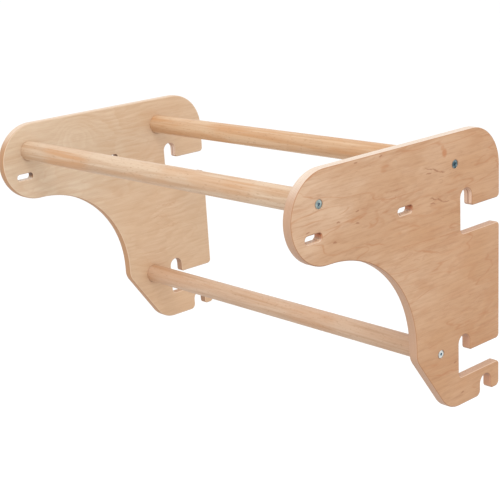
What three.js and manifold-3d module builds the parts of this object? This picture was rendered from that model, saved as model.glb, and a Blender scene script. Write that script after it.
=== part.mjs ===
// Hang-on pull-up frame for gymnastic wall bars: two hooked plywood side panels, three round wooden bars,
// and a bolt with its threaded sleeve at each end of each bar.
// Millimetres, +Z up, +X along the bars, +Y towards the wall.
// The origin is the axis of the rung that the upper hooks hang on, midway between the panels.
import * as THREE from "three";
import { mergeVertices } from "three/addons/utils/BufferGeometryUtils.js";
import Module from "manifold-3d";

const wasm = await Module();
wasm.setup();

// The whole frame
const overallWidth = 855;
const panelThickness = 18;
const arrisRadius = 2.5; // rounded-over edge of the plywood

// Outer edges of a panel, from the rung's axis
const rearEdge = 98;
const noseReach = 437; // forward to the tip of the nose
const noseRadius = 80;
const shoulderRadius = 80;
const topEdge = 121;
const waistReach = 143.5; // forward to the narrowest part, under the hollow
const waistRadius = 36;
const hollowRadius = 207;
const heelReach = 54.5;
const heelRise = 124.5; // from the bottom edge up to the corner of the waist
const heelRadius = 60;
const toeDrop = 23; // bottom edge under the lower slot's centre

// Hooks: an upright slot with a round crown, in front of a tooth
const slotWidth = 31;
const slotDepth = 35; // from the tooth's end to the crown
const mouthHeight = 46; // from the tooth's end to the shelf under it
const middleHookLead = 8; // the middle slot stands this far in front of the upper one
const middleHookDrop = 274; // under the upper one
const lowerHookSetback = 56;
const lowerHookDrop = 98; // under the middle one
const toothCornerRadius = 8.5;
const toothTipRadius = 6;
const shelfCornerRadius = 9;
const fingerRadius = 10;
const fingerTipRadius = 8;
const toeRadius = 12; // bottom corner in front of the lower hook

// Slots for straps
const strapSlotLength = 37;
const strapSlotHeight = 13;
const frontStrapSlotDepth = 109; // its middle under the top edge
const frontStrapSlotInset = 49.5; // behind the tip of the nose
const rearStrapSlotDepth = 110.5;
const rearStrapSlotReach = 166;

// Bars and the blind pockets that their ends stand in
const barDiameter = 40;
const barEndChamfer = 1.2;
const pocketDepth = 8;
const upperBarDepth = 56; // axis under the top edge
const frontBarInset = 65; // behind the tip of the nose
const rearBarReach = 30.5;
const lowerBarReach = 75;
const lowerBarDrop = 3; // under the middle slot's centre

// Bolts, counterbored into the outer faces
const boltDiameter = 8;
const boltLength = 36; // under the head
const boltTipChamfer = 1;
const headDiameter = 15;
const headHeight = 3;
const headRim = 0.8; // rounded rim of the head
const socketAcross = 5; // across the flats of the hexagon
const socketDepth = 2.2;
const counterboreDepth = 3.7;

// Threaded sleeves in the bar ends
const sleeveDiameter = 12;
const sleeveLength = 25;
const sleeveChamfer = 0.8;
const sleeveInset = 0.5; // below the end of the bar
const sleeveBoreDepth = 33;

// Clearances and facets
const clearance = 0.3;
const cutOverrun = 2; // how far a cutter stands out of the face that it enters
const chordError = 0.18;
const barSides = 36;
const boltSides = 20;
const arrisSteps = 2;

// Sizes that follow
const panelCentre = (overallWidth - panelThickness) / 2;
const innerFace = overallWidth / 2 - panelThickness;
const outerFace = overallWidth / 2;
const barLength = 2 * (innerFace + pocketDepth - clearance);
const headSeat = outerFace - counterboreDepth + clearance;
const middleHookZ = -middleHookDrop;
const lowerHookZ = middleHookZ - lowerHookDrop;
const bottomEdge = lowerHookZ - toeDrop;
const upperBarZ = topEdge - upperBarDepth;

// A closed outline through corners of [y, z, radius], each rounded by an arc tangent to both its sides.
// Where two arcs need more than the side between them, both are limited by it.
function roundedOutline(corners) {
  const count = corners.length;
  const turns = corners.map(([y, z, radius], i) => {
    const [beforeY, beforeZ] = corners.at(i - 1);
    const [afterY, afterZ] = corners[(i + 1) % count];
    const toBefore = new THREE.Vector2(beforeY - y, beforeZ - z);
    const toAfter = new THREE.Vector2(afterY - y, afterZ - z);
    const sideLength = toAfter.length();
    toBefore.normalize();
    toAfter.normalize();
    const halfAngle = Math.acos(toBefore.dot(toAfter)) / 2;
    return { toBefore, toAfter, sideLength, halfAngle, tangent: radius / Math.tan(halfAngle) };
  });
  const room = turns.map(({ sideLength, tangent }, i) => {
    return Math.min(1, sideLength / (tangent + turns[(i + 1) % count].tangent));
  });
  const points = [];
  turns.forEach(({ toBefore, toAfter, halfAngle }, i) => {
    const corner = new THREE.Vector2(corners[i][0], corners[i][1]);
    const radius = corners[i][2] * Math.min(room.at(i - 1), room[i]);
    const bisector = toBefore.clone().add(toAfter).normalize();
    const centre = corner.clone().addScaledVector(bisector, radius / Math.sin(halfAngle));
    const start = corner.clone().addScaledVector(toBefore, radius / Math.tan(halfAngle)).sub(centre);
    const sweep = (Math.PI - 2 * halfAngle) * Math.sign(toAfter.cross(toBefore));
    const steps = Math.max(2, Math.ceil(Math.abs(sweep) / (2 * Math.acos(1 - chordError / radius))));
    for (let k = 0; k <= steps; k++) {
      const angle = start.angle() + (sweep * k) / steps;
      points.push(new THREE.Vector2(Math.cos(angle), Math.sin(angle)).multiplyScalar(radius).add(centre));
    }
  });
  // Arcs that run straight into each other share a point.
  return points.filter((point, i) => point.distanceTo(points.at(i - 1)) > clearance / 10);
}

// Corners of an upright slot with a half-round crown, from the tooth's tip over the crown to its front wall.
function slotCrown(centreY, centreZ) {
  const half = slotWidth / 2;
  return [
    [centreY + half, centreZ + half, half],
    [centreY - half, centreZ + half, half],
  ];
}

// Corners of a hook that opens to the wall: tooth, slot and the shelf below.
function notch(centreY, centreZ) {
  const half = slotWidth / 2;
  const toothEnd = centreZ + half - slotDepth;
  const shelf = toothEnd - mouthHeight;
  return [
    [rearEdge, toothEnd, toothCornerRadius],
    [centreY + half, toothEnd, toothTipRadius],
    ...slotCrown(centreY, centreZ),
    [centreY - half, shelf, shelfCornerRadius],
    [rearEdge, shelf, toothCornerRadius],
  ];
}

function panelOutline() {
  const half = slotWidth / 2;
  const fingerEnd = lowerHookZ + half - slotDepth;
  const noseUnderside = topEdge - 2 * noseRadius;
  return roundedOutline([
    [rearEdge, topEdge, shoulderRadius],
    ...notch(0, 0),
    ...notch(-middleHookLead, middleHookZ),
    [rearEdge, fingerEnd, fingerRadius],
    [lowerHookSetback + half, fingerEnd, fingerTipRadius],
    ...slotCrown(lowerHookSetback, lowerHookZ),
    [lowerHookSetback - half, bottomEdge, toeRadius],
    [-heelReach, bottomEdge, heelRadius],
    [-waistReach, bottomEdge + heelRise, waistRadius],
    [-waistReach, noseUnderside, hollowRadius],
    [-noseReach, noseUnderside, noseRadius],
    [-noseReach, topEdge, noseRadius],
  ]);
}

function strapSlot(reach, depth) {
  const [front, back] = [-reach - strapSlotLength / 2, -reach + strapSlotLength / 2];
  const [low, high] = [topEdge - depth - strapSlotHeight / 2, topEdge - depth + strapSlotHeight / 2];
  const end = strapSlotHeight / 2;
  return new THREE.Path(
    roundedOutline([
      [front, low, end],
      [back, low, end],
      [back, high, end],
      [front, high, end],
    ]),
  );
}

function solidOf(geometry) {
  const bare = geometry.clone();
  bare.deleteAttribute("normal");
  bare.deleteAttribute("uv");
  const merged = mergeVertices(bare, 1e-4);
  const vertProperties = merged.getAttribute("position").array;
  const triVerts = new Uint32Array(merged.index.array);
  return new wasm.Manifold(new wasm.Mesh({ numProp: 3, vertProperties, triVerts }));
}

function geometryOf(solid) {
  const { vertProperties, triVerts } = solid.getMesh();
  const geometry = new THREE.BufferGeometry();
  geometry.setAttribute("position", new THREE.BufferAttribute(vertProperties, 3));
  geometry.setIndex(new THREE.BufferAttribute(triVerts, 1));
  geometry.computeVertexNormals();
  return geometry;
}

// A round cutter along X that goes depth into a panel from its face; inwards is the way in, -1 or +1.
function roundCut(diameter, face, depth, inwards, [y, z], sides) {
  const radius = diameter / 2;
  const length = depth + cutOverrun;
  const cutter = new THREE.CylinderGeometry(radius, radius, length, sides);
  cutter.rotateZ(Math.PI / 2);
  cutter.translate(face + (inwards * (depth - cutOverrun)) / 2, y, z);
  return solidOf(cutter);
}

const barPlaces = {
  front: [frontBarInset - noseReach, upperBarZ],
  rear: [-rearBarReach, upperBarZ],
  lower: [-lowerBarReach, middleHookZ - lowerBarDrop],
};

// A side panel around its own middle plane; side is +1 for the right one and -1 for the left one.
function sidePanel(side) {
  const outline = new THREE.Shape(panelOutline());
  outline.holes = [
    strapSlot(noseReach - frontStrapSlotInset, frontStrapSlotDepth),
    strapSlot(rearStrapSlotReach, rearStrapSlotDepth),
  ];
  const blank = new THREE.ExtrudeGeometry(outline, {
    depth: panelThickness - 2 * arrisRadius,
    bevelThickness: arrisRadius,
    bevelSize: arrisRadius,
    bevelOffset: -arrisRadius,
    bevelSegments: arrisSteps,
  });
  blank.translate(0, 0, arrisRadius - panelThickness / 2);
  const [x, y, z] = [new THREE.Vector3(1, 0, 0), new THREE.Vector3(0, 1, 0), new THREE.Vector3(0, 0, 1)];
  blank.applyMatrix4(new THREE.Matrix4().makeBasis(y, z, x));
  const outside = (side * panelThickness) / 2;
  let panel = solidOf(blank);
  for (const place of Object.values(barPlaces)) {
    const fit = 2 * clearance;
    const pocket = roundCut(barDiameter + fit, -outside, pocketDepth, side, place, barSides);
    const boltHole = roundCut(boltDiameter + fit, outside, panelThickness, -side, place, boltSides);
    const counterbore = roundCut(headDiameter + fit, outside, counterboreDepth, -side, place, boltSides);
    panel = panel.subtract(pocket).subtract(boltHole).subtract(counterbore);
  }
  return geometryOf(panel);
}

// Turned about Y from [radius, height] points, running up the outside.
function turned(profile, sides) {
  return new THREE.LatheGeometry(
    profile.map(([radius, height]) => new THREE.Vector2(radius, height)),
    sides,
  );
}

function bar() {
  const half = barLength / 2;
  const radius = barDiameter / 2;
  const boreRadius = sleeveDiameter / 2 + clearance;
  const boreFloor = half - sleeveBoreDepth;
  const end = [
    [radius, half - barEndChamfer],
    [radius - barEndChamfer, half],
    [boreRadius, half],
    [boreRadius, boreFloor],
    [0, boreFloor],
  ];
  const otherEnd = end.map(([r, height]) => [r, -height]).reverse();
  return turned([...otherEnd, ...end], barSides);
}

// Along Y, with the underside of the head at 0 and the tip at -boltLength.
function bolt() {
  const radius = boltDiameter / 2;
  const headRadius = headDiameter / 2;
  const body = turned(
    [
      [0, -boltLength],
      [radius - boltTipChamfer, -boltLength],
      [radius, boltTipChamfer - boltLength],
      [radius, 0],
      [headRadius, 0],
      [headRadius, headHeight - headRim],
      [headRadius - headRim / 3, headHeight - headRim / 3],
      [headRadius - headRim, headHeight],
      [0, headHeight],
    ],
    boltSides,
  );
  const socketRadius = socketAcross / 2 / Math.cos(Math.PI / 6);
  const socket = new THREE.CylinderGeometry(socketRadius, socketRadius, socketDepth + cutOverrun, 6);
  socket.translate(0, headHeight + (cutOverrun - socketDepth) / 2, 0);
  return geometryOf(solidOf(body).subtract(solidOf(socket)));
}

// Along Y, from 0 at the end that the bolt enters down to -sleeveLength.
function sleeve() {
  const outer = sleeveDiameter / 2;
  const inner = boltDiameter / 2 + clearance;
  return turned(
    [
      [inner, sleeveChamfer - sleeveLength],
      [inner + sleeveChamfer, -sleeveLength],
      [outer - sleeveChamfer, -sleeveLength],
      [outer, sleeveChamfer - sleeveLength],
      [outer, -sleeveChamfer],
      [outer - sleeveChamfer, 0],
      [inner + sleeveChamfer, 0],
      [inner, -sleeveChamfer],
      [inner, sleeveChamfer - sleeveLength],
    ],
    boltSides,
  );
}

const plywood = new THREE.MeshStandardMaterial({ color: 0xd0a681, roughness: 0.55, metalness: 0 });
const beech = new THREE.MeshStandardMaterial({ color: 0xd9b48c, roughness: 0.5, metalness: 0 });
const zinc = new THREE.MeshStandardMaterial({ color: 0xa8b2b8, roughness: 0.35, metalness: 1 });

function named(name, geometry, material) {
  const mesh = new THREE.Mesh(geometry, material);
  mesh.name = name;
  return mesh;
}

const pullUpFrame = new THREE.Group();
const sides = { left: -1, right: 1 };

for (const [sideName, side] of Object.entries(sides)) {
  const panel = named(`${sideName}_side_panel`, sidePanel(side), plywood);
  panel.position.x = side * panelCentre;
  pullUpFrame.add(panel);
}

for (const [barName, [y, z]] of Object.entries(barPlaces)) {
  const barGroup = new THREE.Group();
  barGroup.position.set(0, y, z);
  const barMesh = named(`${barName}_bar`, bar(), beech);
  barMesh.rotation.z = -Math.PI / 2;
  barGroup.add(barMesh);
  for (const [sideName, side] of Object.entries(sides)) {
    const boltMesh = named(`${barName}_bar_${sideName}_bolt`, bolt(), zinc);
    boltMesh.position.x = side * headSeat;
    boltMesh.rotation.z = (-side * Math.PI) / 2;
    const sleeveMesh = named(`${barName}_bar_${sideName}_sleeve`, sleeve(), zinc);
    sleeveMesh.position.x = side * (barLength / 2 - sleeveInset);
    sleeveMesh.rotation.z = (-side * Math.PI) / 2;
    barGroup.add(boltMesh, sleeveMesh);
  }
  pullUpFrame.add(barGroup);
}

export default pullUpFrame;
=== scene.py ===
import math

import bmesh
import bpy
import numpy as np
from mathutils import Matrix, Vector, geometry


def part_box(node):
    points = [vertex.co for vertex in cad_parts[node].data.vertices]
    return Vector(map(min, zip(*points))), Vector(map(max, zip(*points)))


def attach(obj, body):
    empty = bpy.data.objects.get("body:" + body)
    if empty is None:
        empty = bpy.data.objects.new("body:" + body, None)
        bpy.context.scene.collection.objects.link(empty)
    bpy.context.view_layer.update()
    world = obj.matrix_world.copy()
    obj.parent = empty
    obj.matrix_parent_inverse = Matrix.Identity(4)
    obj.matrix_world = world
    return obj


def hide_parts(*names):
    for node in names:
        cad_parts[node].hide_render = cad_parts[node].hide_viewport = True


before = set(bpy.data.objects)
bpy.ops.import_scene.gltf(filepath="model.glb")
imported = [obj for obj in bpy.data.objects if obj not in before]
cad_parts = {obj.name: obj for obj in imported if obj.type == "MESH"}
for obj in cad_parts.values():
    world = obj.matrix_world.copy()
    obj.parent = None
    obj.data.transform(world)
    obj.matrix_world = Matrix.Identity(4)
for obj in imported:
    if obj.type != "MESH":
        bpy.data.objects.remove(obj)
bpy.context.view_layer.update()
mm = 0.001  # sizes are in millimetres: x along the bars, y to the wall, z up
sides = {"left": -1, "right": 1}
barNames = ("front", "rear", "lower")
merge = {"outline": 1e-4, "doubles": 2e-3, "slivers": 1e-4, "fill": 1e-7}  # points this close are one


def nodeBox(name):
    # lowest and highest corner of a CAD node, to the micrometre
    return [np.round(np.array(corner) / mm, 3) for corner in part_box(name)]


def roundedOutline(corners, steps):
    # a corner (y, z, radius) gives way to an arc tangent to both its sides,
    # whose centre lies on the bisector, radius / sin(half the angle) from the corner
    place, radius = np.split(np.array(corners, float), [2], axis=1)
    before = np.roll(place, 1, 0) - place
    after = np.roll(place, -1, 0) - place
    before /= np.linalg.norm(before, axis=1, keepdims=True)
    after /= np.linalg.norm(after, axis=1, keepdims=True)
    half = np.arccos(np.sum(before * after, 1, keepdims=True)) / 2
    bisector = before + after
    bisector /= np.linalg.norm(bisector, axis=1, keepdims=True)
    centre = place + bisector * radius / np.sin(half)
    start = place + before * radius / np.tan(half) - centre
    turn = np.sign(after[:, :1] * before[:, 1:] - after[:, 1:] * before[:, :1])
    sweep = turn * (math.pi - 2 * half)
    angle = np.arctan2(start[:, 1:], start[:, :1]) + sweep * np.linspace(0, 1, steps + 1)
    ray = np.stack([np.cos(angle), np.sin(angle)], -1)
    points = (centre[:, None] + ray * radius[:, None]).reshape(-1, 2)
    normals = (-turn[:, None] * ray).reshape(-1, 2)  # out of the wood, which is on the right all the way
    fresh = np.linalg.norm(points - np.roll(points, 1, 0), axis=1) > merge["outline"]
    return points[fresh], normals[fresh]


def turnedGrid(profile, around, place):
    # points (x, y + r cos a, z + r sin a) for every angle a and profile point (r, x)
    radius, x = np.array(profile, float).T
    angle = np.linspace(0, 2 * math.pi, around, endpoint=False)[:, None]
    y = place[0] + radius * np.cos(angle)
    z = place[1] + radius * np.sin(angle)
    return np.stack([np.broadcast_to(x, y.shape), y, z], -1)


def joinGrids(grids):
    # the grids' points, and quads between neighbours, with each grid's last row joined to its first
    faces, count = [], 0
    for grid in grids:
        rows, columns = grid.shape[:2]
        here = count + np.arange(rows * columns).reshape(rows, columns)
        beyond = np.roll(here, -1, 0)
        quads = np.stack([here[:, :-1], here[:, 1:], beyond[:, 1:], beyond[:, :-1]], -1)
        faces += quads.reshape(-1, 4).tolist()
        count += rows * columns
    return np.concatenate([grid.reshape(-1, 3) for grid in grids]), faces


def addPiece(name, points, faces, sharpAngle):
    mesh = bpy.data.meshes.new(name)
    mesh.from_pydata((points * mm).tolist(), [], faces)
    cleaned = bmesh.new()
    cleaned.from_mesh(mesh)
    bmesh.ops.remove_doubles(cleaned, verts=cleaned.verts, dist=merge["doubles"] * mm)
    bmesh.ops.dissolve_degenerate(cleaned, dist=merge["slivers"] * mm, edges=cleaned.edges)
    bmesh.ops.recalc_face_normals(cleaned, faces=cleaned.faces)
    cleaned.to_mesh(mesh)
    cleaned.free()
    mesh.shade_smooth()
    mesh.set_sharp_from_angle(angle=math.radians(sharpAngle))
    piece = bpy.data.objects.new(name, mesh)
    bpy.context.scene.collection.objects.link(piece)
    return piece


def pointPlaces(piece):
    flat = np.empty(len(piece.data.vertices) * 3)
    piece.data.vertices.foreach_get("co", flat)
    return flat.reshape(-1, 3).T / mm


def paintPoints(piece, name, values):
    # a value at each point, which the piece's finish reads
    attribute = piece.data.attributes.new(name, "FLOAT", "POINT")
    attribute.data.foreach_set("value", values.astype(float))


# the bars

barShape = {"chamfer": 1.2, "rings": 41, "around": 96, "sharpAngle": 35}


def barSeat(name):
    # the place (y, z) of a bar's axis, its radius and the x of its end
    low, high = nodeBox(f"{name}_bar")
    return (low + high)[1:] / 2, (high - low)[1] / 2, high[0]


bars = {name: barSeat(name) for name in barNames}


def makeBar(name):
    # a circle carried along x, with a chamfer at each end
    place, radius, end = bars[name]
    chamfer = barShape["chamfer"]
    straight = np.linspace(-end + chamfer, end - chamfer, barShape["rings"])
    profile = [(0, -end), (radius - chamfer, -end), *[(radius, x) for x in straight]]
    profile += [(radius - chamfer, end), (0, end)]
    grid = turnedGrid(profile, barShape["around"], place)
    piece = addPiece(f"{name}Bar", *joinGrids([grid]), barShape["sharpAngle"])
    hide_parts(f"{name}_bar")
    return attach(piece, "root")


# the bolts

boltShape = {
    "headHeight": 3, "dome": 0.45, "domePower": 2.5, "domeRings": 7,
    "rim": 0.5, "rimStart": 0.3, "rimRings": 5,
    "socket": 2.5, "socketDepth": 2.2, "socketCone": 0.3, "coneShare": 0.9, "socketTurn": 0.4,
    "lip": 0.25, "lipShare": 1.07,
    "deepFrom": 0.2, "deepShare": 1.17,  # what counts as inside the socket
    "shank": 4, "tipChamfer": 1, "clearance": 0.3, "around": 96, "sharpAngle": 40,
}


def boltSeat(bar):
    # the radius of a bolt's head, and the x of its tip and of its top
    low, high = nodeBox(f"{bar}_bar_right_bolt")
    return (high - low)[1] / 2, low[0], high[0]


def makeBolt(bar, sideName):
    # a turned head whose inner rings follow a hexagon:
    # its radius at angle a is flats / cos(a mod 60 - 30 degrees)
    shape = boltShape
    head, tip, top = boltSeat(bar)
    place = bars[bar][0]
    angle = np.linspace(0, 2 * math.pi, shape["around"], endpoint=False)
    sixth = math.pi / 3
    hexagon = shape["socket"] / np.cos((angle + sixth / 2) % sixth - sixth / 2)
    circle = np.ones(len(angle))
    edge = head - shape["rim"]
    floor, under, end = -shape["socketDepth"], -shape["headHeight"], tip - top
    rings = [(0 * circle, floor - shape["socketCone"]), (hexagon * shape["coneShare"], floor)]
    rings += [(hexagon, floor), (hexagon, -shape["lip"])]
    for way in np.linspace(0, 1, shape["domeRings"]):
        radius = hexagon * shape["lipShare"] * (1 - way) + edge * way
        rings.append((radius, -shape["dome"] * way ** shape["domePower"]))
    for way in np.linspace(shape["rimStart"], math.pi / 2, shape["rimRings"]):
        drop = shape["dome"] + shape["rim"] * (1 - math.cos(way))
        rings.append((circle * (edge + shape["rim"] * math.sin(way)), -drop))
    shank, chamfer = shape["shank"], shape["tipChamfer"]
    rings += [(circle * head, under), (circle * shank, under), (circle * shank, end + chamfer)]
    rings += [(circle * (shank - chamfer), end), (0 * circle, end)]
    radius = np.stack([ring for ring, _ in rings], 1)
    x = np.broadcast_to(top + np.array([depth for _, depth in rings]), radius.shape)
    turned = angle[:, None] + shape["socketTurn"]
    y = place[0] + radius * np.cos(turned)
    z = place[1] + radius * np.sin(turned)
    grid = np.stack([sides[sideName] * x, y, z], -1)
    piece = addPiece(f"{bar}{sideName.title()}Bolt", *joinGrids([grid]), shape["sharpAngle"])
    x, y, z = pointPlaces(piece)
    deep = np.hypot(y - place[0], z - place[1]) < shape["socket"] * shape["deepShare"]
    deep &= (abs(x) < top - shape["deepFrom"]) & (abs(x) > top - shape["headHeight"])
    paintPoints(piece, "deep", deep)
    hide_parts(f"{bar}_bar_{sideName}_bolt")
    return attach(piece, "root")


# the side panels

panelShape = {
    "arris": 2.5, "arrisSteps": 6, "arcSteps": 28, "noseRadius": 80, "shoulderRadius": 80,
    "waist": -143.5, "waistRadius": 36, "hollowRadius": 207,
    "heel": -54.5, "heelRise": 124.5, "heelRadius": 60,
    "hookWidth": 31, "hookDepth": 35, "mouth": 46,
    "upperHook": (0, 0), "middleHook": (-8, -274), "lowerHook": (56, -372),
    "toothCorner": 8.5, "toothTip": 6, "shelfCorner": 9, "finger": 10, "fingerTip": 8, "toe": 12,
    "strapSlots": ((-387.5, 12), (-166, 10.5)), "strapLength": 37, "strapHeight": 13, "strapSteps": 12,
    "snug": 0.05, "pocketChamfer": 0.1, "boreChamfer": 0.3, "boreSides": 96, "sharpAngle": 30,
    # tool scorch with painted shade, and paler painted light, on each hook's walls, and how far down they go
    "wallTones": {"upperHook": (0.0, 1.0), "middleHook": (0.35, 0.2), "lowerHook": (0.5, 0.1)},
    "wallReach": 22, "paintMargin": 0.5,
}


def panelSizes():
    # the CAD panel's box gives its faces, nose, rear, bottom and top
    low, high = nodeBox("right_side_panel")
    return {**panelShape, **dict(zip(("inner", "nose", "bottom", "outer", "rear", "top"), (*low, *high)))}


panel = panelSizes()


def panelCorners():
    # the outline's corners (y, z, radius), from the shoulder down the rear and round by the nose
    half, rear = panel["hookWidth"] / 2, panel["rear"]

    def crown(y, z):
        return [(y + half, z + half, half), (y - half, z + half, half)]

    def notch(y, z):
        tooth = z + half - panel["hookDepth"]
        shelf = tooth - panel["mouth"]
        return [(rear, tooth, panel["toothCorner"]), (y + half, tooth, panel["toothTip"]), *crown(y, z),
                (y - half, shelf, panel["shelfCorner"]), (rear, shelf, panel["toothCorner"])]

    under = panel["top"] - 2 * panel["noseRadius"]
    waist, bottom = panel["waist"], panel["bottom"]
    y, z = panel["lowerHook"]
    fingerEnd = z + half - panel["hookDepth"]
    return [(rear, panel["top"], panel["shoulderRadius"]),
            *notch(*panel["upperHook"]), *notch(*panel["middleHook"]),
            (rear, fingerEnd, panel["finger"]), (y + half, fingerEnd, panel["fingerTip"]), *crown(y, z),
            (y - half, bottom, panel["toe"]), (panel["heel"], bottom, panel["heelRadius"]),
            (waist, bottom + panel["heelRise"], panel["waistRadius"]), (waist, under, panel["hollowRadius"]),
            (panel["nose"], under, panel["noseRadius"]), (panel["nose"], panel["top"], panel["noseRadius"])]


def carriedEdge(corners, steps):
    # a section with two rounded arrises carried round an outline: points (x, outline - inset * normal),
    # where the inset is arris (1 - sin a) at a depth of arris (1 - cos a) under either face
    angle = np.linspace(0, math.pi / 2, panel["arrisSteps"] + 1)
    inset = panel["arris"] * (1 - np.sin(angle))
    depth = panel["arris"] * (1 - np.cos(angle))
    inset = np.concatenate([inset, inset[::-1]])
    x = np.concatenate([panel["inner"] + depth, (panel["outer"] - depth)[::-1]])
    line, normal = roundedOutline(corners, steps)
    flat = line[:, None] - inset[:, None] * normal[:, None]
    return np.concatenate([np.broadcast_to(x[:, None], flat.shape[:2] + (1,)), flat], -1)


def boredHole(bar):
    # a turned surface through the panel: a pocket for the bar's end, a hole for the bolt's shank
    # and a counterbore for its head
    place, radius, end = bars[bar]
    head, _, top = boltSeat(bar)
    clearance = boltShape["clearance"]
    pocket, hole, sunk = radius + panel["snug"], boltShape["shank"] + clearance, head + clearance
    floor, seat = end + clearance, top - boltShape["headHeight"] - clearance
    inner, outer = panel["inner"], panel["outer"]
    mouth, lip = panel["pocketChamfer"], panel["boreChamfer"]
    profile = [(pocket + mouth, inner), (pocket, inner + mouth), (pocket, floor), (hole, floor), (hole, seat),
               (sunk, seat), (sunk, outer - lip), (sunk + lip, outer)]
    return turnedGrid(profile, panel["boreSides"], place)


def filledFace(loops):
    # triangles between closed loops; one is wood if a ray from its middle crosses the loops
    # an odd number of times
    sizes = np.array([len(loop) for loop in loops])
    first = np.repeat(np.cumsum(sizes) - sizes, sizes)
    index = np.arange(sizes.sum())
    after = first + (index - first + 1) % np.repeat(sizes, sizes)
    one = np.concatenate(loops)
    two = one[after]
    edges = np.stack([index, after], -1).tolist()
    filled = geometry.delaunay_2d_cdt([Vector(point) for point in one], edges, [], 0, merge["fill"])
    points = np.array([tuple(point) for point in filled[0]])
    triangles = np.array(filled[2])
    middle = points[triangles].mean(1)[:, None]
    spans = (one[:, 1] > middle[..., 1]) != (two[:, 1] > middle[..., 1])
    rise = np.where(one[:, 1] == two[:, 1], 1, two[:, 1] - one[:, 1])
    meets = one[:, 0] + (middle[..., 1] - one[:, 1]) / rise * (two[:, 0] - one[:, 0])
    wood = (spans & (meets > middle[..., 0])).sum(1) % 2 == 1
    return points, triangles[wood]


def paintWalls(piece):
    # cut: tool scorch with painted shade on slot and hook walls; pale: painted light on hook walls
    _, y, z = pointPlaces(piece)
    cut, pale = np.zeros(len(y)), np.zeros(len(y))
    margin = panel["paintMargin"]
    half = panel["hookWidth"] / 2 + margin
    for hook, (scorchedAndShaded, light) in panel["wallTones"].items():
        hookY, hookZ = panel[hook]
        wall = (abs(y - hookY) < half) & (y > hookY - half / 2)
        wall &= (z > hookZ - panel["wallReach"]) & (z < hookZ + half)
        cut, pale = np.where(wall, scorchedAndShaded, cut), np.where(wall, light, pale)
    length, height = panel["strapLength"] / 2 + margin, panel["strapHeight"] / 2 + margin
    for slotY, slotZ in panel["strapSlots"]:
        cut = np.maximum(cut, (abs(y - slotY) < length) & (abs(z - slotZ) < height))
    paintPoints(piece, "cut", cut)
    paintPoints(piece, "pale", pale)


def makePanel(sideName):
    # edges are sections carried round the outlines, holes are turned, and both faces are filled between them
    grids = [carriedEdge(panelCorners(), panel["arcSteps"])]
    length, height = panel["strapLength"] / 2, panel["strapHeight"] / 2
    for y, z in panel["strapSlots"]:
        ways = ((-1, -1), (1, -1), (1, 1), (-1, 1))
        corners = [(y + wayY * length, z + wayZ * height, height) for wayY, wayZ in ways]
        grids.append(carriedEdge(corners, panel["strapSteps"]))
    grids += [boredHole(bar) for bar in barNames]
    points, faces = joinGrids(grids)
    for x, column in ((panel["inner"], 0), (panel["outer"], -1)):
        flat, triangles = filledFace([grid[:, column, 1:] for grid in grids])
        faces += (triangles + len(points)).tolist()
        points = np.concatenate([points, np.insert(flat, 0, x, axis=1)])
    mirrored = points * np.array([sides[sideName], 1, 1])
    piece = addPiece(f"{sideName}Panel", mirrored, faces, panel["sharpAngle"])
    paintWalls(piece)
    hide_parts(f"{sideName}_side_panel")
    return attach(piece, "root")


# finishes

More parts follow.
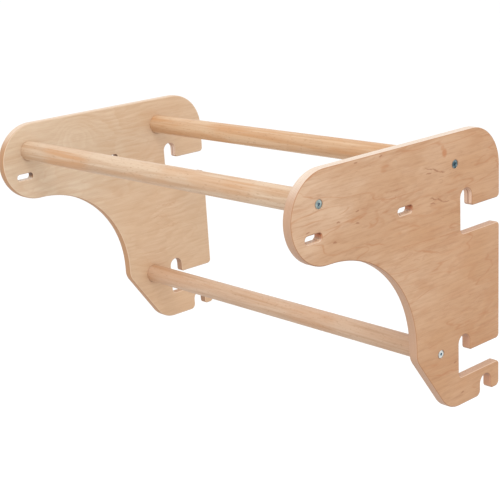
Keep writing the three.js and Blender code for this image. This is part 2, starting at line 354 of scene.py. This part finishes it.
class Paint:
    # a material's node tree, with its maths written as calls
    def __init__(self, name):
        self.material = bpy.data.materials.new(name)
        self.material.use_nodes = True
        self.tree = self.material.node_tree
        self.shader = self.tree.nodes["Principled BSDF"]

    def add(self, kind, **settings):
        node = self.tree.nodes.new(kind)
        for key, value in settings.items():
            setattr(node, key, value)
        return node

    def feed(self, socket, value):
        if isinstance(value, bpy.types.NodeSocket):
            self.tree.links.new(value, socket)
        else:
            socket.default_value = value

    def math(self, operation, *values, clamp=False):
        node = self.add("ShaderNodeMath", operation=operation, use_clamp=clamp)
        for socket, value in zip(node.inputs, values):
            self.feed(socket, value)
        return node.outputs[0]

    def times(self, product, *others):
        for value in others:
            product = self.math("MULTIPLY", product, value)
        return product

    def ramp(self, value, low, high, toLow=0.0, toHigh=1.0):
        node = self.add("ShaderNodeMapRange", interpolation_type="SMOOTHSTEP")
        for socket, setting in zip(node.inputs, (value, low, high, toLow, toHigh)):
            self.feed(socket, setting)
        return node.outputs[0]

    def zone(self, place, limits, toLow, toHigh):
        # a ramp between two places in millimetres
        return self.ramp(place, *(limit * mm for limit in limits), toLow, toHigh)

    def mix(self, share, first, second):
        # sockets 6 and 7 in, and 2 out, are the ones for colours
        node = self.add("ShaderNodeMix", data_type="RGBA")
        for socket, value in zip((node.inputs[0], node.inputs[6], node.inputs[7]), (share, first, second)):
            self.feed(socket, value)
        return node.outputs[2]

    def noise(self, stretch, move=(0, 0, 0), detail=3.0, rough=0.5, bend=0.0):
        mapping = self.add("ShaderNodeMapping")
        self.feed(mapping.inputs["Vector"], self.add("ShaderNodeTexCoord").outputs["Object"])
        mapping.inputs["Scale"].default_value = stretch
        mapping.inputs["Location"].default_value = move
        node = self.add("ShaderNodeTexNoise")
        self.feed(node.inputs["Vector"], mapping.outputs[0])
        for key, value in {"Scale": 1.0, "Detail": detail, "Roughness": rough, "Distortion": bend}.items():
            node.inputs[key].default_value = value
        return node.outputs[0]

    def seededNoises(self, table, seed):
        # rows: stretch per metre, move, the seed's share in the move, detail, roughness, distortion
        noises = {}
        for key, (stretch, move, share, *settings) in table.items():
            moved = tuple(start + seed * part for start, part in zip(move, share))
            noises[key] = self.noise(stretch, moved, *settings)
        return noises

    def parts(self, vector):
        node = self.add("ShaderNodeSeparateXYZ")
        self.feed(node.inputs[0], vector)
        return node.outputs

    def axes(self):
        return self.parts(self.add("ShaderNodeTexCoord").outputs["Object"])

    def facing(self):
        return self.parts(self.add("ShaderNodeNewGeometry").outputs["Normal"])

    def painted(self, name):
        return self.add("ShaderNodeAttribute", attribute_name=name).outputs["Fac"]

    def bump(self, height, strength, depth):
        node = self.add("ShaderNodeBump")
        node.inputs["Strength"].default_value = strength
        node.inputs["Distance"].default_value = depth * mm
        self.feed(node.inputs["Height"], height)
        return node.outputs[0]

    def finish(self, inputs):
        for name, value in inputs.items():
            self.feed(self.shader.inputs[name], value)
        return self.material


def tone(red, green, blue):
    # screen values 0-255 as the linear colour that a shader takes
    screen = np.array([red, green, blue]) / 255
    return (*np.where(screen <= 0.04045, screen / 12.92, ((screen + 0.055) / 1.055) ** 2.4).tolist(), 1.0)


def grey(level):
    return (level, level, level, 1)


# plywood of the panels, each with a veneer of its own

veneers = {
    "right": {
        "finish": "tanBirchPlywood", "seed": 3.0,
        "light": tone(221, 185, 152), "mid": tone(206, 163, 125), "dark": tone(168, 114, 74),
        "warm": tone(200, 147, 100), "warmth": 0.58, "paleNose": 0.22, "warmFoot": 0.1,
        "spacing": 8.5, "lines": 0.1, "broadLines": 0.1, "mottle": 0.26, "fleck": 0.3, "veins": 0.5,
        "ringStretch": (2, 3, 13), "ringTurns": 8, "ringFade": 0.6,
        "ring": tone(186, 122, 74), "ringShare": 0.3,
        "edgeLight": tone(238, 221, 203), "edgeDark": tone(206, 174, 148), "band": tone(164, 118, 88),
        # end grain, which also serves as painted shade on edges that don't face up
        "endGrainAndShade": tone(188, 138, 100), "endShare": 0.76,
        # the arris's own tone, and painted shade for it where it faces down
        "arris": tone(176, 118, 76), "arrisShare": 0.7, "underArrisShade": tone(150, 104, 76),
        # cut walls: tool scorch with painted shade, darkest in the crowns, and painted light on slot floors
        "scorchAndShade": tone(206, 124, 78), "crown": tone(120, 56, 34), "litSlotFloor": tone(236, 200, 166),
        # the hook walls' pale tone, raised further as painted light
        "paleLitHookWall": tone(246, 212, 186),
        # closed figure (y, z, half length, half height, turns)
        # and curled threads (the same, with a strength in place of the turns)
        "hearts": ((-215, 40, 70, 26, 3.5), (-90, -120, 90, 40, 1.6), (0, -320, 80, 40, 1.4)),
        "threads": ((-215, 40, 80, 22, 0.35), (-165, -70, 90, 26, 0.3), (-20, -200, 70, 30, 0.3)),
        # orange streaks (y, z, half length, tilt), branching cracks (y, z) and brown dots (y, z)
        "streaks": ((-395, 110, 25, 0.35), (-340, 120, 30, 0), (-245, -30, 30, -0.25), (-110, -75, 40, -0.3)),
        "cracks": ((-85, 65), (-75, 10)),
        "dots": ((-285, 35), (-330, 25), (-400, 25), (-340, -5), (-285, 115), (-225, 115), (-285, 15),
                 (-35, -305), (-15, -370)),
        "knots": ((-60, 90, 8, 9, 0.75), (-65, 100, 6, 6, 0.4)),  # y, z, half length, half height, strength
    },
    "left": {
        "finish": "paleBirchPlywood", "seed": 11.0,
        "light": tone(226, 204, 177), "mid": tone(217, 191, 161), "dark": tone(192, 150, 112),
        "warm": tone(220, 178, 138), "warmth": 0.5, "paleNose": 0.3, "warmFoot": 0.55,
        "spacing": 11, "lines": 0.19, "broadLines": 0.14, "mottle": 0.1, "fleck": 0.1, "veins": 0.2,
        "ringStretch": (2, 4, 9), "ringTurns": 11, "ringFade": 0.8,
        "ring": tone(204, 162, 122), "ringShare": 0.26,
        "edgeLight": tone(240, 218, 194), "edgeDark": tone(206, 172, 144), "band": tone(164, 114, 78),
        # end grain, which also serves as painted shade on edges that don't face up
        "endGrainAndShade": tone(182, 127, 76), "endShare": 0.85,
        # the arris's own tone, and painted shade for it where it faces down
        "arris": tone(238, 214, 186), "arrisShare": 0.7, "underArrisShade": tone(168, 124, 92),
        # cut walls: tool scorch with painted shade, darkest in the crowns, and painted light on slot floors
        "scorchAndShade": tone(84, 54, 38), "crown": tone(88, 50, 32), "litSlotFloor": tone(255, 236, 214),
        # the hook walls' pale tone, raised further as painted light
        "paleLitHookWall": tone(252, 228, 208),
        "hearts": ((-250, 80, 40, 35, -4.0), (-60, -230, 70, 50, 2.0)),
        "threads": ((-20, -150, 60, 40, 0.3),),
        "streaks": (), "cracks": (), "dots": (), "knots": (),
    },
}
plyNoise = {  # rows as seededNoises takes them
    "wobble": ((30, 70, 90), (0, 0, 0), (0, 0, 0), 2, 0.5, 0.0),
    "bend": ((2, 2.4, 6.5), (0, 0, 0), (1, 1, 1), 3, 0.5, 0.3),
    "ripple": ((9, 22, 60), (0, 0, 0), (1, 0, 1), 3, 0.6, 0.0),
    "fibre": ((40, 14, 420), (0, 0, 0), (0, 1, 0), 4, 0.6, 0.0),
    "cloud": ((4, 6, 15), (0, 3, 1), (1, 0, 0), 4, 0.6, 0.4),
    "mottle": ((50, 26, 190), (0, 1, 7), (1, 0, 0), 3, 0.65, 0.5),
    "where": ((2, 4, 9), (5, 0, 0), (1, 0, 1), 2, 0.5, 0.0),
    "speck": ((20, 55, 240), (0, 0, 2), (1, 1, 0), 2, 0.5, 0.6),
    "sparse": ((3, 9, 12), (1, 0, 4), (0, 1, 0), 1, 0.5, 0.0),
    "curl": ((30, 36, 60), (2, 0, 5), (0, 1, 0), 3, 0.6, 0.3),
    "broken": ((30, 22, 60), (8, 2, 0), (0, 0, 1), 1, 0.5, 0.0),
    "vein": ((2, 3.4, 15), (4, 0, 9), (1, 1, 1), 3, 0.45, 0.3),
    "ends": ((900, 260, 260), (0, 0, 0), (0, 0, 0), 2, 0.5, 0.0),
    "band": ((230, 1.5, 1.5), (0, 0, 0), (1, 0, 0), 1, 0.5, 0.0),
}
ringNoise = ((0, 2, 7), (1, 1, 1), 2, 0.45, 0.35)  # such a row after its stretch, which each veneer sets
plyLook = {
    "plies": 13, "plyLine": (0.3, 0.7), "wobble": 8, "faceFrom": (0.72, 0.97),
    "roughness": (0.3, 0.8, 0.42, 0.58), "coat": 0.12, "coatRoughness": 0.35,
    "fibreBump": 0.5, "plyBump": 0.12, "bump": 0.1, "bumpDepth": 0.6,
}


class PlywoodPaint(Paint):
    # also holds the veneer and its noises, the place on the panel and the way the surface faces
    def __init__(self, veneer):
        super().__init__(veneer["finish"])
        self.veneer = veneer
        self.x, self.y, self.z = self.axes()
        sideways, _, self.up = self.facing()
        self.sideways = self.math("ABSOLUTE", sideways)
        rows = {**plyNoise, "ring": (veneer["ringStretch"], *ringNoise)}
        self.grain = self.seededNoises(rows, veneer["seed"])
        reach = plyLook["wobble"] * mm
        wobble = self.math("MULTIPLY_ADD", self.grain["wobble"], reach, -reach / 2)
        self.wavyZ = self.math("ADD", self.z, wobble)
        depth = self.math("SUBTRACT", self.math("ABSOLUTE", self.x), panel["inner"] * mm)
        thickness = panel["outer"] - panel["inner"]
        self.through = self.math("DIVIDE", depth, thickness * mm)  # 0 at the inner face, 1 at the outer
        plies = self.math("PINGPONG", self.times(self.through, plyLook["plies"]), 1.0)
        self.ply = self.ramp(plies, *plyLook["plyLine"])

    def spread(self, y, z, length, height, tilt=0.0, wavy=True):
        # square of the distance from a spot, in half lengths along y and half heights along z
        along = self.math("DIVIDE", self.math("SUBTRACT", self.y, y * mm), length * mm)
        level = self.math("MULTIPLY_ADD", along, -tilt * length * mm, self.wavyZ if wavy else self.z)
        over = self.math("DIVIDE", self.math("SUBTRACT", level, z * mm), height * mm)
        return self.math("MULTIPLY_ADD", along, along, self.math("MULTIPLY", over, over))


growthLook = {
    "sway": 6.0, "shake": 0.9, "broadSpacing": 26,
    "lineRise": 0.14, "fineFade": 0.85, "broadFade": 0.95, "ringRise": 0.12,
}


def growthLines(paint):
    # a line starts wherever z / spacing + bend + hearts passes a whole number, and fades from there;
    # a ring does so on the level lines of a stretched noise, as in peeled veneer
    veneer, look = paint.veneer, growthLook

    def fading(turns, rise, fade):
        part = paint.math("FRACT", turns)
        return paint.times(paint.ramp(part, 0.0, rise), paint.ramp(part, rise, fade, 1.0, 0.0))

    hearts = 0.0
    for *spot, turns in veneer["hearts"]:
        swell = paint.math("POWER", math.e, paint.math("MULTIPLY", paint.spread(*spot), -1.0))
        hearts = paint.math("MULTIPLY_ADD", swell, turns, hearts)
    shake = paint.math("MULTIPLY", paint.grain["ripple"], look["shake"])
    sway = paint.math("MULTIPLY_ADD", paint.grain["bend"], look["sway"], shake)

    def growth(spacing, fade):
        turns = paint.math("MULTIPLY_ADD", paint.z, 1 / (spacing * mm), sway)
        return fading(paint.math("ADD", turns, hearts), look["lineRise"], fade)

    fine = growth(veneer["spacing"], look["fineFade"])
    broad = growth(look["broadSpacing"], look["broadFade"])
    turns = paint.math("MULTIPLY_ADD", paint.grain["ring"], veneer["ringTurns"], shake)
    return fine, broad, fading(turns, look["ringRise"], veneer["ringFade"])


veneerLook = {  # ramps: low, high, and the values there
    "clouds": (0.36, 0.64, 0.0, 0.8), "noseZone": (-400, -50), "rearZone": (-350, 100), "rearWarmth": 0.5,
    "bendWarmth": 0.9, "warmer": (0.4, 0.9), "footZone": (-360, -220), "figured": (0.38, 0.62, 0.1, 1.0),
    "fibre": (0.45, 0.75, 0.0, 0.25), "mottle": (0.48, 0.7), "speck": (0.64, 0.74), "sparse": (0.56, 0.7),
    "fleckTone": tone(156, 98, 60),
}


def veneerTone(paint):
    # clouds from mid to light, warmer to the rear and the foot, under growth lines, fibre and mottle
    veneer, grain, look = paint.veneer, paint.grain, veneerLook
    dark = veneer["dark"]
    paler = paint.times(paint.zone(paint.y, look["noseZone"], 1.0, 0.0), veneer["paleNose"])
    lightness = paint.math("ADD", paint.ramp(grain["cloud"], *look["clouds"]), paler, clamp=True)
    face = paint.mix(lightness, veneer["mid"], veneer["light"])
    rearward = paint.zone(paint.y, look["rearZone"], 0.0, look["rearWarmth"])
    warmer = paint.math("ADD", rearward, paint.times(grain["bend"], look["bendWarmth"]))
    face = paint.mix(paint.ramp(warmer, *look["warmer"], 0.0, veneer["warmth"]), face, veneer["warm"])
    face = paint.mix(paint.zone(paint.z, look["footZone"], veneer["warmFoot"], 0.0), face, veneer["warm"])
    fine, broad, rings = growthLines(paint)
    figured = paint.ramp(grain["where"], *look["figured"])
    face = paint.mix(paint.times(rings, figured, veneer["ringShare"]), face, veneer["ring"])
    face = paint.mix(paint.times(fine, figured, veneer["lines"]), face, dark)
    face = paint.mix(paint.times(broad, veneer["broadLines"]), face, dark)
    face = paint.mix(paint.ramp(grain["fibre"], *look["fibre"]), face, dark)
    face = paint.mix(paint.ramp(grain["mottle"], *look["mottle"], 0.0, veneer["mottle"]), face, dark)
    flecks = paint.ramp(grain["speck"], *look["speck"])
    sparse = paint.ramp(grain["sparse"], *look["sparse"])
    return paint.mix(paint.times(flecks, sparse, veneer["fleck"]), face, look["fleckTone"])


markLook = {
    "broken": (0.36, 0.52), "threadsPerMetre": 75.0, "curls": 2.4, "threadWidth": 0.13,
    "threadReach": (0.2, 1.2), "threadTone": tone(178, 116, 76), "veinTurns": 6.0, "veinWidth": 0.06,
    "streakHeight": 2.2, "streakReach": (0.0, 1.3), "streakShare": 0.5,
    "dotSize": (5, 1.6), "markReach": (0.2, 1.4), "markShare": 0.58, "markTone": tone(148, 82, 36),
    # a crack is three strokes in a line that falls to the rear, and a branch under the first:
    # y and z from the crack's middle, half length, half height, tilt
    "crack": ((-16, 5, 12, 1.4, -0.3), (1, -1, 8, 2.2, -0.45), (17, -6, 10, 1.3, -0.15),
              (-18, -3, 8, 1.3, -0.2)),
    "knotMottle": 0.8, "knotReach": (0.5, 1.5), "knotTone": tone(190, 120, 68),
}


def veneerMarks(paint, face):
    # threads and veins are thin lines where a noise passes whole numbers, broken by another noise;
    # streaks, dots, cracks and knots fade with the distance from their middles
    veneer, grain, look = paint.veneer, paint.grain, markLook

    def thin(turns, width):
        return paint.ramp(paint.math("PINGPONG", turns, 0.5), 0.0, width, 1.0, 0.0)

    broken = paint.ramp(grain["broken"], *look["broken"])
    curled = paint.times(grain["curl"], look["curls"])
    thread = thin(paint.math("MULTIPLY_ADD", paint.z, look["threadsPerMetre"], curled), look["threadWidth"])
    for *spot, strength in veneer["threads"]:
        close = paint.ramp(paint.spread(*spot), *look["threadReach"], strength, 0.0)
        face = paint.mix(paint.times(thread, broken, close), face, look["threadTone"])
    vein = thin(paint.times(grain["vein"], look["veinTurns"]), look["veinWidth"])
    face = paint.mix(paint.times(vein, broken, veneer["veins"]), face, veneer["ring"])
    for y, z, length, tilt in veneer["streaks"]:
        far = paint.spread(y, z, length, look["streakHeight"], tilt)
        close = paint.ramp(far, *look["streakReach"], look["streakShare"], 0.0)
        face = paint.mix(close, face, veneer["ring"])
    strokes = [(y, z, *look["dotSize"]) for y, z in veneer["dots"]]
    for y, z in veneer["cracks"]:
        strokes += [(y + stepY, z + stepZ, *stroke) for stepY, stepZ, *stroke in look["crack"]]
    for stroke in strokes:
        close = paint.ramp(paint.spread(*stroke), *look["markReach"], look["markShare"], 0.0)
        face = paint.mix(close, face, look["markTone"])
    for *spot, strength in veneer["knots"]:
        far = paint.math("MULTIPLY_ADD", grain["mottle"], look["knotMottle"], paint.spread(*spot, wavy=False))
        face = paint.mix(paint.ramp(far, *look["knotReach"], strength, 0.0), face, look["knotTone"])
    return face


contactLook = {
    "outerSkin": 1, "barTone": tone(150, 104, 70), "barWidth": 4, "barShares": (0.6, 0.06),
    # boltRing is where a bolt's shade fades, outwards from the head's edge;
    # boltFront is where it weakens to the rear, in head radii before the axis
    "boltTone": tone(84, 58, 44), "boltRing": (0.8, 3.2), "boltFront": (1.2, 0.6), "boltShares": (0.9, 0.15),
}


def contactShade(paint, face):
    # a thin ring of shade, strongest under each bar on the inner face
    # and at the front of each bolt head on the outer one
    look = contactLook
    skin = ((panel["inner"] + panel["outer"]) / 2, panel["outer"] - look["outerSkin"])
    inside = paint.zone(paint.math("ABSOLUTE", paint.x), skin, 1.0, 0.0)
    outside = paint.math("SUBTRACT", 1.0, inside)
    for bar in barNames:
        (y, z), radius, _ = bars[bar]
        head = boltSeat(bar)[0]
        away = paint.math("SQRT", paint.spread(y, z, 1, 1, wavy=False))
        below = paint.zone(paint.z, (z - radius, z - radius / 2), *look["barShares"])
        ring = paint.times(below, paint.ramp(away, radius, radius + look["barWidth"], 1.0, 0.0))
        face = paint.mix(paint.times(inside, ring), face, look["barTone"])
        front = paint.zone(paint.y, [y - head * share for share in look["boltFront"]], *look["boltShares"])
        rim = paint.ramp(away, *(head + width for width in look["boltRing"]), 1.0, 0.0)
        face = paint.mix(paint.times(outside, front, rim), face, look["boltTone"])
    return face


edgeLook = {  # ramps: low, high, and the values there
    "plyContrast": 0.6, "ends": (0.4, 0.75, 0.0, 0.35), "endGrainAndShade": (0.35, 0.9),
    "band": (0.42, 0.6), "bandShare": (-0.9, -0.3, 0.5, 0.06),
    "shelfZone": (30, 80), "shelfShare": 0.8, "shelf": (0.3, 0.9), "uncut": (0.0, 0.6, 1.0, 0.0),
    "paleLitHookWall": (-0.7, -0.1, 0.2, 0.8), "palest": (0.6, 1.0),
    "darkPly": tone(146, 84, 54), "darkPlyPlace": 0.55, "darkPlyWidth": (0.03, 0.1, 0.7, 0.0),
    "litSlotFloor": (0.5, 0.95), "crown": (-0.8, -0.1), "scorchedAndShaded": (-0.5, 0.9, 0.85, 0.0),
}


def shelves(paint):
    # strong below the panel's top part, where the shelves are
    return paint.zone(paint.z, edgeLook["shelfZone"], edgeLook["shelfShare"], 0.0)


def plyEdge(paint):
    # plies counted through the thickness, then end grain with painted shade, shelves,
    # hook walls with painted light, and scorch with painted shade, by the way the edge faces
    veneer, grain, look, up = paint.veneer, paint.grain, edgeLook, paint.up
    edge = paint.mix(paint.times(paint.ply, look["plyContrast"]), veneer["edgeLight"], veneer["edgeDark"])
    edge = paint.mix(paint.ramp(grain["ends"], *look["ends"]), edge, veneer["edgeDark"])
    # end grain on every edge that doesn't face up, partly real grain and partly painted shade
    edge = paint.mix(paint.ramp(up, *look["endGrainAndShade"], veneer["endShare"], 0.0), edge, veneer["endGrainAndShade"])
    band = paint.ramp(grain["band"], *look["band"])  # some plies are darker than the rest
    edge = paint.mix(paint.times(band, paint.ramp(up, *look["bandShare"])), edge, veneer["band"])
    cut, pale = paint.painted("cut"), paint.painted("pale")
    uncut = paint.ramp(cut, *look["uncut"])
    # the shelves below the top take that darker tone too
    shelf = paint.times(shelves(paint), paint.ramp(up, *look["shelf"]), uncut)
    edge = paint.mix(shelf, edge, veneer["endGrainAndShade"])
    # painted light on the hook walls over their own pale tone, less where they face down
    edge = paint.mix(paint.times(pale, paint.ramp(up, *look["paleLitHookWall"])), edge, veneer["paleLitHookWall"])
    off = paint.math("ABSOLUTE", paint.math("SUBTRACT", paint.through, look["darkPlyPlace"]))
    core = paint.times(paint.ramp(pale, *look["palest"]), paint.ramp(off, *look["darkPlyWidth"]))
    edge = paint.mix(core, edge, look["darkPly"])  # one dark ply shows in the upper hooks
    # painted light: slot floors that face up take a paler tone
    edge = paint.mix(paint.times(cut, paint.ramp(up, *look["litSlotFloor"])), edge, veneer["litSlotFloor"])
    # tool scorch with painted shade on cut walls, strongest where they face down, darkest in the crowns
    scorchAndShade = paint.mix(paint.ramp(up, *look["crown"]), veneer["crown"], veneer["scorchAndShade"])
    return paint.mix(paint.times(cut, paint.ramp(up, *look["scorchedAndShaded"])), edge, scorchAndShade)


arrisLook = {
    "start": (0.62, 0.88), "end": (0.95, 0.999, 1.0, 0.0), "upper": (0.1, 0.6), "upperFade": 0.6,
    "under": (-0.45, -0.05, 0.45, 0.0), "shelf": (0.1, 0.5), "shelfTone": tone(236, 208, 182),
}


def arrisTint(paint, surface):
    # the rounded strip between face and edge has a tone of its own, painted shade below, and paler on the
    # shelves
    veneer, look, up = paint.veneer, arrisLook, paint.up
    start, end = (paint.ramp(paint.sideways, *look[key]) for key in ("start", "end"))
    rounded = paint.times(start, end)
    share = veneer["arrisShare"]
    upper = paint.ramp(up, *look["upper"], share, share * look["upperFade"])
    surface = paint.mix(paint.times(rounded, upper), surface, veneer["arris"])
    # painted shade on the arris where it faces down
    surface = paint.mix(paint.times(rounded, paint.ramp(up, *look["under"])), surface, veneer["underArrisShade"])
    shelf = paint.times(rounded, shelves(paint), paint.ramp(up, *look["shelf"]))
    return paint.mix(shelf, surface, look["shelfTone"])


def plywoodFinish(sideName):
    # veneer on what faces sideways, plies on the edges, and a tinted arris between
    paint, look = PlywoodPaint(veneers[sideName]), plyLook
    face = contactShade(paint, veneerMarks(paint, veneerTone(paint)))
    surface = paint.mix(paint.ramp(paint.sideways, *look["faceFrom"]), plyEdge(paint), face)
    fibre = paint.grain["fibre"]
    relief = paint.math("ADD", paint.times(fibre, look["fibreBump"]), paint.times(paint.ply, look["plyBump"]))
    return paint.finish({
        "Base Color": arrisTint(paint, surface), "Roughness": paint.ramp(fibre, *look["roughness"]),
        "Coat Weight": look["coat"], "Coat Roughness": look["coatRoughness"],
        "Normal": paint.bump(relief, look["bump"], look["bumpDepth"]),
    })


# beech of the bars; a blush is a warmer length: middle, half length, share

beeches = {
    "front": {
        "seed": 2.0, "light": tone(219, 192, 164), "mid": tone(200, 165, 133), "dark": tone(170, 126, 90),
        "warm": tone(206, 158, 116), "warmth": 0.45, "blush": ((-250, 90, 0.95), (255, 45, 0.6)),
    },
    "rear": {
        "seed": 5.0, "light": tone(220, 186, 151), "mid": tone(203, 162, 124), "dark": tone(170, 120, 82),
        "warm": tone(206, 152, 104), "warmth": 0.62, "blush": ((-80, 160, 0.4),),
    },
    "lower": {
        "seed": 9.0, "light": tone(212, 181, 154), "mid": tone(194, 158, 128), "dark": tone(166, 124, 92),
        "warm": tone(198, 150, 112), "warmth": 0.4, "blush": ((-380, 60, 0.4), (120, 70, 0.6)),
    },
}
beechNoise = {  # rows as seededNoises takes them
    "streak": ((2.2, 64, 64), (0, 5, 0), (1, 0, 1), 4, 0.6, 0.3),
    "warm": ((5.0, 40, 40), (1, 0, 4), (0, 1, 0), 3, 0.6, 0.4),
    "fibre": ((16, 420, 420), (0, 0, 0), (0, 0, 0), 3, 0.6, 0.0),
    "ray": ((110, 420, 420), (3, 1, 0), (0, 0, 1), 1, 0.5, 0.0),
}
beechLook = {  # ramps: low, high, and the values there
    "streak": (0.4, 0.6), "warm": (0.45, 0.68), "fibre": (0.48, 0.8, 0.0, 0.3),
    "ray": (0.62, 0.74), "rayShare": 0.4,
    "blushReach": (0.1, 1.1), "blushStreak": (0.42, 0.58, 1.0, 0.25),
    # painted shade on the bar where it enters the panel: its reach, share and tone
    "entryShadeWidth": (4, 0.5), "entryShadeShare": 0.08, "entryShadeTone": tone(150, 100, 66),
    "roughness": (0.3, 0.8, 0.4, 0.55), "specular": 0.3, "coat": 0.04, "coatRoughness": 0.35,
    "bump": 0.08, "bumpDepth": 0.4,
}


def beechFinish(name):
    # straight grain along x: long streaks, fine fibre, and the short dashes of beech rays
    paint, beech, look = Paint(f"{name}Beech"), beeches[name], beechLook
    x = paint.axes()[0]
    grain = paint.seededNoises(beechNoise, beech["seed"])
    base = paint.mix(paint.ramp(grain["streak"], *look["streak"]), beech["mid"], beech["light"])
    base = paint.mix(paint.ramp(grain["warm"], *look["warm"], 0.0, beech["warmth"]), base, beech["warm"])
    for middle, half, share in beech["blush"]:
        far = paint.math("DIVIDE", paint.math("SUBTRACT", x, middle * mm), half * mm)
        close = paint.ramp(paint.math("MULTIPLY", far, far), *look["blushReach"], share, 0.0)
        streaked = paint.ramp(grain["streak"], *look["blushStreak"])
        base = paint.mix(paint.times(close, streaked), base, beech["warm"])
    base = paint.mix(paint.ramp(grain["fibre"], *look["fibre"]), base, beech["dark"])
    rays = paint.ramp(grain["ray"], *look["ray"])
    base = paint.mix(paint.times(rays, look["rayShare"]), base, beech["dark"])
    # painted shade on the bar where it enters the panel
    limits = [panel["inner"] - width for width in look["entryShadeWidth"]]
    entryShade = paint.zone(paint.math("ABSOLUTE", x), limits, 0.0, look["entryShadeShare"])
    return paint.finish({
        "Base Color": paint.mix(entryShade, base, look["entryShadeTone"]),
        "Roughness": paint.ramp(grain["fibre"], *look["roughness"]),
        "Specular IOR Level": look["specular"],
        "Coat Weight": look["coat"], "Coat Roughness": look["coatRoughness"],
        "Normal": paint.bump(grain["fibre"], look["bump"], look["bumpDepth"]),
    })


# zinc of the bolts and sleeves

# each bolt's tones are lit and shaded copies of one zinc, painted light: mid at the front, dark at the rear,
# pale below
litZincTones = {
    "front": {"dullShade": tone(138, 156, 156), "bright": tone(190, 202, 198), "socket": tone(136, 154, 168)},
    "rear": {"dullShade": tone(74, 96, 104), "bright": tone(136, 156, 162), "socket": tone(104, 130, 142)},
    "lower": {"dullShade": tone(196, 204, 202), "bright": tone(238, 238, 234), "socket": tone(150, 176, 188)},
}
zincLook = {
    "stretch": (170, 170, 170), "move": (2, 0, 3), "mottle": (0.35, 0.65),
    "roughness": (0.3, 0.7, 0.36, 0.52), "metallic": 1.0, "bump": 0.06, "bumpDepth": 0.2,
}


def zincFinish(name):
    # plating mottle mixed with painted reflection, from dull to bright; the socket tone is oxide and painted
    # shade
    paint, zinc, look = Paint(f"{name}LitZinc"), litZincTones[name], zincLook
    mottle = paint.noise(look["stretch"], look["move"])
    platingAndReflection = paint.mix(paint.ramp(mottle, *look["mottle"]), zinc["dullShade"], zinc["bright"])
    return paint.finish({
        "Base Color": paint.mix(paint.painted("deep"), platingAndReflection, zinc["socket"]),
        "Roughness": paint.ramp(mottle, *look["roughness"]), "Metallic": look["metallic"],
        "Normal": paint.bump(mottle, look["bump"], look["bumpDepth"]),
    })


# the pieces

for sideName in sides:
    makePanel(sideName).data.materials.append(plywoodFinish(sideName))
print("panels done")
for barName in barNames:
    makeBar(barName).data.materials.append(beechFinish(barName))
    zinc = zincFinish(barName)
    for sideName in sides:
        makeBolt(barName, sideName).data.materials.append(zinc)
        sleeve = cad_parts[f"{barName}_bar_{sideName}_sleeve"]
        sleeve.data.materials.clear()
        sleeve.data.materials.append(zinc)
print("bars, bolts and sleeves done")


# the studio, in metres

floorLook = {
    "drop": 1.1, "reach": 30, "stretch": (2, 2, 2), "dim": grey(0.97), "bright": grey(0.99),
    "roughness": 0.9, "glow": 0.06,
}


def makeFloor():
    # a flat square under the frame
    reach, drop = floorLook["reach"], floorLook["drop"]
    ways = ((-1, -1), (1, -1), (1, 1), (-1, 1))
    mesh = bpy.data.meshes.new("floor")
    mesh.from_pydata([(wayX * reach, wayY * reach, -drop) for wayX, wayY in ways], [], [(0, 1, 2, 3)])
    paint = Paint("paleFloor")
    mesh.materials.append(paint.finish({
        "Base Color": paint.mix(paint.noise(floorLook["stretch"]), floorLook["dim"], floorLook["bright"]),
        "Roughness": floorLook["roughness"],
        "Emission Color": grey(1), "Emission Strength": floorLook["glow"],
    }))
    floor = bpy.data.objects.new("floor", mesh)
    bpy.context.scene.collection.objects.link(floor)
    floor.visible_diffuse = False  # the floor adds no light of its own
    floor.visible_glossy = False
    floor.visible_shadow = False


skyLook = {"colour": grey(1), "above": 0.99, "below": 0.82, "fade": (-0.45, -0.03)}


def makeSky():
    # white all round, and dimmer below: its strength changes between two heights
    world = bpy.data.worlds.new("studio")
    world.use_nodes = True
    sky = world.node_tree
    background = sky.nodes["Background"]
    height = sky.nodes.new("ShaderNodeSeparateXYZ")
    fade = sky.nodes.new("ShaderNodeMapRange")
    sky.links.new(sky.nodes.new("ShaderNodeTexCoord").outputs["Generated"], height.inputs[0])
    sky.links.new(height.outputs[2], fade.inputs[0])
    for socket, value in zip(fade.inputs[1:5], (*skyLook["fade"], skyLook["below"], skyLook["above"])):
        socket.default_value = value
    sky.links.new(fade.outputs[0], background.inputs["Strength"])
    background.inputs["Color"].default_value = skyLook["colour"]
    bpy.context.scene.world = world


keyLook = {"place": (1.4, -1.5, 3.0), "aim": (0, -0.15, -0.1), "power": 34, "size": 1.6}


def makeKey():
    # one large soft lamp
    lamp = bpy.data.lights.new("key", "AREA")
    lamp.energy = keyLook["power"]
    lamp.size = keyLook["size"]
    key = bpy.data.objects.new("key", lamp)
    key.location = keyLook["place"]
    key.rotation_euler = (Vector(keyLook["aim"]) - key.location).to_track_quat("-Z", "Y").to_euler()
    bpy.context.scene.collection.objects.link(key)


view = {
    "place": (1.6895, -1.6545, 0.5101), "azimuth": 49.587, "elevation": 17.286, "roll": -4.017,
    "lens": 84.817, "sensor": 36, "shift": (0.054, 0.06), "far": 100,
}


def makeCamera():
    # the photograph's viewing angle: ahead from azimuth and elevation, then rolled about it
    azimuth, elevation, roll = (math.radians(view[key]) for key in ("azimuth", "elevation", "roll"))
    flat = math.cos(elevation)
    ahead = Vector((-math.sin(azimuth) * flat, math.cos(azimuth) * flat, -math.sin(elevation)))
    level = Vector((math.cos(azimuth), math.sin(azimuth), 0))
    over = level.cross(ahead)
    right = level * math.cos(roll) + over * math.sin(roll)
    up = over * math.cos(roll) - level * math.sin(roll)
    lens = bpy.data.cameras.new("camera")
    lens.lens = view["lens"]
    lens.sensor_width = view["sensor"]
    lens.clip_end = view["far"]
    lens.shift_x, lens.shift_y = view["shift"]  # the picture is cut off centre
    camera = bpy.data.objects.new("camera", lens)
    camera.matrix_world = Matrix((right, up, -ahead)).transposed().to_4x4()
    camera.location = view["place"]
    bpy.context.scene.collection.objects.link(camera)
    bpy.context.scene.camera = camera


makeFloor()
makeSky()
makeKey()
makeCamera()
bpy.context.scene.view_settings.view_transform = "Standard"
print("studio done")
